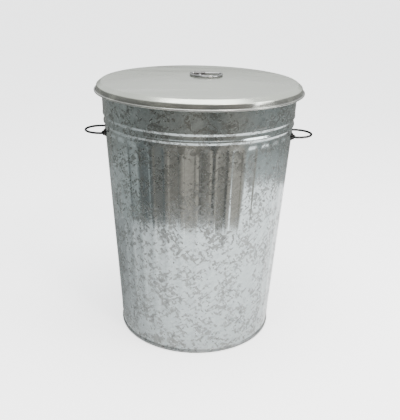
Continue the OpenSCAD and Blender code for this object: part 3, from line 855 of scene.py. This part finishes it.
def lid_sheet():
    """Pressed lid: flat middle, shallow cone, rounded shoulder, flared skirt and rolled rim, revolved.
    The cone has slow dents: a sum of three waves of the angle and the radius."""
    shoulder_r = CREST_R - SHOULDER_RUN
    face = rounded([(0, LID_Z), (LID_FLAT_R, LID_Z), (shoulder_r, CREST_Z + SHOULDER_RISE),
                    (CREST_R, CREST_Z), (SKIRT_R, LID_RIM_Z)],
                   [CONE_FILLET, SHOULDER_FILLET, CREST_FILLET], 10)
    roll = arc(LID_RIM_CENTRE, LID_ROLL_R, math.pi, math.pi + ROLL_TURN, 22)
    outline = sheet(np.concatenate([dense(face, 7 * MM), roll]), LID_T)
    points = revolve(outline, 240)
    x, y, z = np.moveaxis(points, -1, 0)
    r = np.hypot(x, y)
    angle = np.arctan2(y, x)
    dents = (np.sin(2 * angle + 0.8) + 0.6 * np.sin(5 * angle + 20 * r)
             + 0.5 * np.sin(9 * angle + 2.0 - 31 * r))
    on_cone = smooth((r - LID_FLAT_R) / (40 * MM)) * smooth((shoulder_r - r) / (25 * MM))
    points[..., 2] = z + DENT_H * dents * on_cone
    piece = make_mesh("lid_sheet", points, False, True, 50)
    finish_piece(piece, "lid", LID_ZINC, "lid_shell")


def ring_wire():
    """Closed wire ring: straight hinge side, two small corners and a half-round front."""
    _, y, z = RING_HINGE
    half = RING_W / 2
    low_x, high_x = RING_X - half, RING_X + half
    far = y - RING_DEPTH + half
    front = arc((RING_X, far), half, 0, -math.pi, 40)
    back = rounded([(low_x, far), (low_x, y), (high_x, y), (high_x, far)], [RING_BEND_R, RING_BEND_R], 10)
    plan = dense(np.concatenate([front, back[1:]]), WIRE_STEP)[:-1]
    path = np.concatenate([plan, np.full((len(plan), 1), z)], 1)
    piece = make_mesh("lid_ring_wire", tube(path, RING_R, closed=True), True, True)
    finish_piece(piece, "lid_ring", RING_STEEL, "lid_ring")


def saddle_strap():
    """Strap over the ring's hinge side. Along it: flange, arch, flange. Across it: its width, with
    the flanges' ends rounded."""
    _, y, z = RING_HINGE
    top = LID_HIGH[2] + SADDLE_T / 2
    end = SADDLE_OUT_R + SADDLE_FLANGE
    arch = arc((0, z), SADDLE_ARCH_R, math.pi, 0, 14)
    flange = rounded([(-end, top), (-SADDLE_ARCH_R, top), (-SADDLE_ARCH_R, z)], [SADDLE_FOLD_R], 5)[:-1]
    path = dense(np.concatenate([flange, arch, flange[::-1] * [-1, 1]]), 0.8 * MM)
    along, height = path.T
    into = np.clip((np.abs(along) - end + SADDLE_CORNER_R) / SADDLE_CORNER_R, 0, 1)
    half = SADDLE_W / 2 - SADDLE_CORNER_R * (1 - np.sqrt(1 - into ** 2))
    x = np.linspace(-1, 1, 15)[None] * half[:, None]
    points = np.stack([x, y + along[:, None] + 0 * x, height[:, None] + 0 * x], -1)
    piece = make_mesh("saddle_strap", points, False, False, 30)
    thicken(piece, SADDLE_T)
    finish_piece(piece, "lid", BRACKET_STEEL, "lid_saddle")


def saddle_fixings():
    """Two rivets through the strap's flanges and the lid, on washers under the lid."""
    y = RING_HINGE[1]
    heads = [Matrix.Translation((0, y + dy, LID_HIGH[2])) for dy in (-SADDLE_RIVET, SADDLE_RIVET)]
    seats = [head @ Matrix.Translation((0, 0, -LID_T)) for head in heads]
    fastener_set("saddle_rivet_set", "lid", "lid_saddle_rivets",
                 rivet_points(SADDLE_T, LID_T + WASHER_T), False, heads)
    fastener_set("lid_washer_set", "lid", "lid_rivet_washers", washer_points(), True, seats)


body_sheet()
base_pan()
foot_hoop()
rolled_wires()
for way, word in ((1, "right"), (-1, "left")):
    side_handle(way, word + "_handle")
    folded_bracket(way, word + "_bracket")
    bracket_fixings(way, word)
lid_sheet()
ring_wire()
saddle_strap()
saddle_fixings()


# ---------------------------------------------------------------- floor, light and camera
# Turns round the can are 0 at the front, negative on the left, and half a turn at the back.

FLOOR_HALF = 20.0
FLOOR_WHITE = (0.93, 0.93, 0.93, 1)
# The floor's and the air's extra white for the camera alone, and the air's own light
FLOOR_GLOW = 1.6
AIR_GLOW = 1.8
AIR_LIGHT = 1.6
AIR_COLOUR = (0.97, 0.99, 1.0, 1)

# The white sweep's edge, further off on the right, and the darker room beyond it
CAN_CLEAR_R = 0.2
SWEEP_R = 0.79
SWEEP_RIGHT = 0.36
SWEEP_RIGHT_FROM = math.radians(46)
ROOM_R = 3.2
WALL_H_BACK = 1.2
WALL_H_FRONT = 2.6
WALL_FRONT_TO = math.radians(130)

# Greys of the room close by at turns in degrees: soft panels left, front and right, and the gaps
PANELS = [(-180, 0.35), (-90, 0.72), (-60, 0.18), (-28, 0.28), (0, 0.72), (15, 0.07), (40, 0.70),
          (75, 0.90), (180, 0.50)]
FRONT_HALF = 50
FRONT_TINT = (1.16, 1, 0.84)
ROOM_TINT = (0.95, 1, 0.98)
FAR_GREY = (0.27, 0.27, 0.245, 1)
FAR_SHARE = 0.75
SHADE_COLOUR = (0.15, 0.17, 0.165, 1)
SHADE_MOST = 0.86

CAMERA_BACK = 1.4876
CAMERA_UP = 0.8787
CAMERA_PITCH = math.radians(21.282)
CAMERA_YAW = math.radians(0.306)
CAMERA_ROLL = math.radians(1.338)
SENSOR_MM = 36
LENS_MM = 53.75


def camera_ray(tree):
    """A socket that is 1 where the camera looks straight at a surface, and 0 in its light."""
    return tree.nodes.new("ShaderNodeLightPath").outputs["Is Camera Ray"]


def stage_floor():
    """A large white floor. It shows a little whiter to the camera than it lights the can."""
    ends = (-FLOOR_HALF, FLOOR_HALF)
    points = np.array([[(x, y, 0) for x in ends] for y in ends])
    floor = make_mesh("stage_floor", points, False, False)
    material = bpy.data.materials.new("floor_white")
    material.use_nodes = True
    tree = material.node_tree
    shader = tree.nodes["Principled BSDF"]
    shader.inputs["Base Color"].default_value = FLOOR_WHITE
    shader.inputs["Roughness"].default_value = 0.9
    shader.inputs["Emission Color"].default_value = (1, 1, 1, 1)
    glow = maths(tree, "MULTIPLY", camera_ray(tree), FLOOR_GLOW)
    tree.links.new(glow, shader.inputs["Emission Strength"])
    floor.data.materials.append(material)


def mirror_card(name, points):
    """A stage card that only mirror-like surfaces see. Gives its shader tree, and as sockets the share
    of a turn round the can and the distance from it."""
    card = make_mesh(name, points, False, True)
    material = bpy.data.materials.new(name)
    material.use_nodes = True
    tree = material.node_tree
    tree.nodes.remove(tree.nodes["Principled BSDF"])
    card.data.materials.append(material)
    card.visible_camera = False
    card.visible_diffuse = False
    card.visible_shadow = False
    card.visible_transmission = False
    card.visible_volume_scatter = False
    place = tree.nodes.new("ShaderNodeTexCoord").outputs["Object"]
    flat = node(tree, "SeparateXYZ", Vector=place)
    turn = maths(tree, "ARCTAN2", flat.outputs[0], maths(tree, "MULTIPLY", flat.outputs[1], -1.0))
    reach = node(tree, "VectorMath", {"operation": "LENGTH"}, i0=place).outputs["Value"]
    return tree, maths(tree, "MULTIPLY", turn, 1 / TAU), reach


def room_card(name, points):
    """The darker room round the white sweep: the panels close by, mixed with one grey further off."""
    tree, turn, reach = mirror_card(name, points)
    panels = tree.nodes.new("ShaderNodeValToRGB")
    panels.color_ramp.interpolation = "EASE"
    stops = panels.color_ramp.elements
    for degrees, _ in PANELS[1:-1]:
        stops.new(degrees / 360 + 0.5)
    for stop, (degrees, value) in zip(stops, PANELS):
        tint = FRONT_TINT if abs(degrees) < FRONT_HALF else ROOM_TINT
        stop.position = degrees / 360 + 0.5
        stop.color = (value * tint[0], value * tint[1], value * tint[2], 1)
    tree.links.new(maths(tree, "ADD", turn, 0.5), panels.inputs[0])
    far = spread(tree, reach, 1.35, 1.6, 0.0, FAR_SHARE)
    glow = node(tree, "Emission", Color=blend_colour(tree, far, panels.outputs[0], FAR_GREY), Strength=1.0)
    tree.links.new(glow.outputs[0], tree.nodes["Material Output"].inputs["Surface"])


def shade_card(name, points):
    """Shade on the left of the white sweep: a dark veil that thickens from the front to the back left."""
    tree, turn, _ = mirror_card(name, points)
    veil = maths(tree, "MULTIPLY", spread(tree, turn, -0.36, 0.02, SHADE_MOST, 0.0),
                 spread(tree, turn, -0.5, -0.42))
    dark = node(tree, "Emission", Color=SHADE_COLOUR, Strength=1.0)
    clear = node(tree, "BsdfTransparent")
    mixed = node(tree, "MixShader", i0=veil, i1=clear.outputs[0], i2=dark.outputs[0])
    tree.links.new(mixed.outputs[0], tree.nodes["Material Output"].inputs["Surface"])


def card_ring(turn, inner, outer, low, high):
    """Grid of a ring-shaped card: each row a share of the way from one distance and height to others."""
    share = np.linspace(0, 1, 3)[:, None]
    reach = inner * (1 - share) + outer * share
    height = low * (1 - share) + high * share
    return np.stack([reach * np.sin(turn), -reach * np.cos(turn), height + 0 * turn], -1)


def studio_cards():
    """Rings round the can: shade on the sweep, the floor beyond the sweep's wavy edge, and the wall
    behind it, which is higher at the front."""
    turn = np.radians(np.linspace(-180, 180, 361)[:-1])[None]
    right = smooth((turn - SWEEP_RIGHT_FROM) / 0.3) * smooth((math.pi - turn) / 0.4)
    edge = SWEEP_R + SWEEP_RIGHT * right + 0.02 * np.sin(9 * turn) + 0.015 * np.sin(23 * turn)
    front = smooth((WALL_FRONT_TO - np.abs(turn)) / 0.7)
    wall_h = WALL_H_BACK + (WALL_H_FRONT - WALL_H_BACK) * front
    shade_card("sweep_shade_card", card_ring(turn, CAN_CLEAR_R, edge, 1 * MM, 1 * MM))
    room_card("room_floor_card", card_ring(turn, edge, ROOM_R, 1.5 * MM, 1.5 * MM))
    room_card("room_wall_card", card_ring(turn, ROOM_R, ROOM_R, 0, wall_h))


def area_light(name, place, target, size, power, colour=(1, 1, 1)):
    """A rectangular soft lamp at a place, aimed at a target."""
    data = bpy.data.lights.new(name, "AREA")
    data.shape = "RECTANGLE"
    data.size, data.size_y = size
    data.energy = power
    data.color = colour
    lamp = bpy.data.objects.new(name, data)
    aim = (Vector(target) - Vector(place)).to_track_quat("-Z", "Y")
    lamp.matrix_world = Matrix.Translation(place) @ aim.to_matrix().to_4x4()
    bpy.context.scene.collection.objects.link(lamp)


def studio_light():
    """White air all round, as white as the floor where the camera sees it, and three soft lamps."""
    world = bpy.data.worlds.new("studio_air")
    world.use_nodes = True
    tree = world.node_tree
    air = tree.nodes["Background"]
    air.inputs["Color"].default_value = AIR_COLOUR
    strength = maths(tree, "MULTIPLY_ADD", camera_ray(tree), AIR_GLOW, AIR_LIGHT)
    tree.links.new(strength, air.inputs["Strength"])
    bpy.context.scene.world = world
    area_light("top_softbox", (0.1, -0.2, 2.4), (0, 0, 0.5), (1.6, 1.2), 60)
    area_light("right_softbox", (1.9, -0.7, 1.4), (0, 0, 0.35), (1.0, 1.4), 40)
    area_light("front_lamp", (1.0, -1.55, 2.3), (0, 0, 0.6), (0.45, 0.35), 40, (1, 0.88, 0.84))


def main_camera():
    """Camera in front of the can and above it, looking down at its middle, rolled a little."""
    ahead = Vector((math.sin(CAMERA_YAW) * math.cos(CAMERA_PITCH),
                    math.cos(CAMERA_YAW) * math.cos(CAMERA_PITCH), -math.sin(CAMERA_PITCH)))
    level = Vector((math.cos(CAMERA_YAW), -math.sin(CAMERA_YAW), 0))
    above = level.cross(ahead)
    right = math.cos(CAMERA_ROLL) * level + math.sin(CAMERA_ROLL) * above
    up = math.cos(CAMERA_ROLL) * above - math.sin(CAMERA_ROLL) * level
    data = bpy.data.cameras.new("main_camera")
    data.sensor_width = SENSOR_MM
    data.lens = LENS_MM
    camera = bpy.data.objects.new("main_camera", data)
    turned = Matrix((right, up, -ahead)).transposed().to_4x4()
    camera.matrix_world = Matrix.Translation((0, -CAMERA_BACK, CAMERA_UP)) @ turned
    bpy.context.scene.collection.objects.link(camera)
    bpy.context.scene.camera = camera


stage_floor()
studio_cards()
studio_light()
main_camera()
